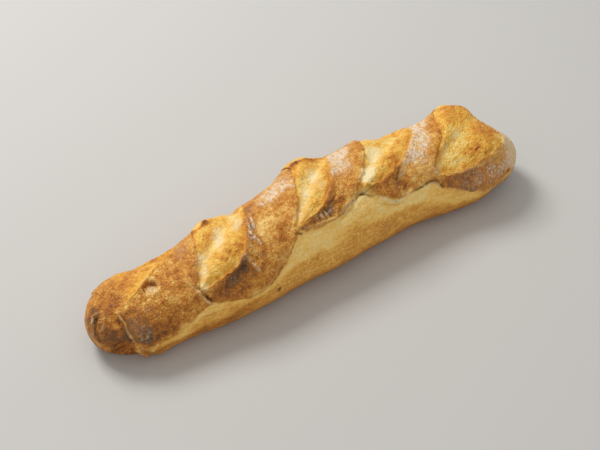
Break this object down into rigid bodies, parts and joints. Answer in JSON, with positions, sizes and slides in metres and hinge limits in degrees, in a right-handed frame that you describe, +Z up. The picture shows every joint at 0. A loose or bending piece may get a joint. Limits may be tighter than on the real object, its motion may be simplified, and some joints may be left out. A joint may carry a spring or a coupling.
{
  "type": "baguette",
  "caption": "Short hand-shaped baguette, uncut: slashed brown crust opened into golden bulges with raised ears, floured patches, a pale lower belt and a flat base.",
  "frame": {"origin": "centre of the bounding box at the level of the flat base, where the loaf meets the table", "axes": "+X along the loaf to the end that is far from the viewer in the picture, +Y to the loaf's back, +Z up"},
  "size_m": [0.328, 0.0776, 0.0584],
  "materials": {
    "baked_crust": "baked wheat crust, satin to matt, brown on the straps, golden in the slashes, pale on the belt, dusted with flour"
  },
  "bodies": {
    "root": {"loaf": "baked_crust"}
  },
  "joints": []
}
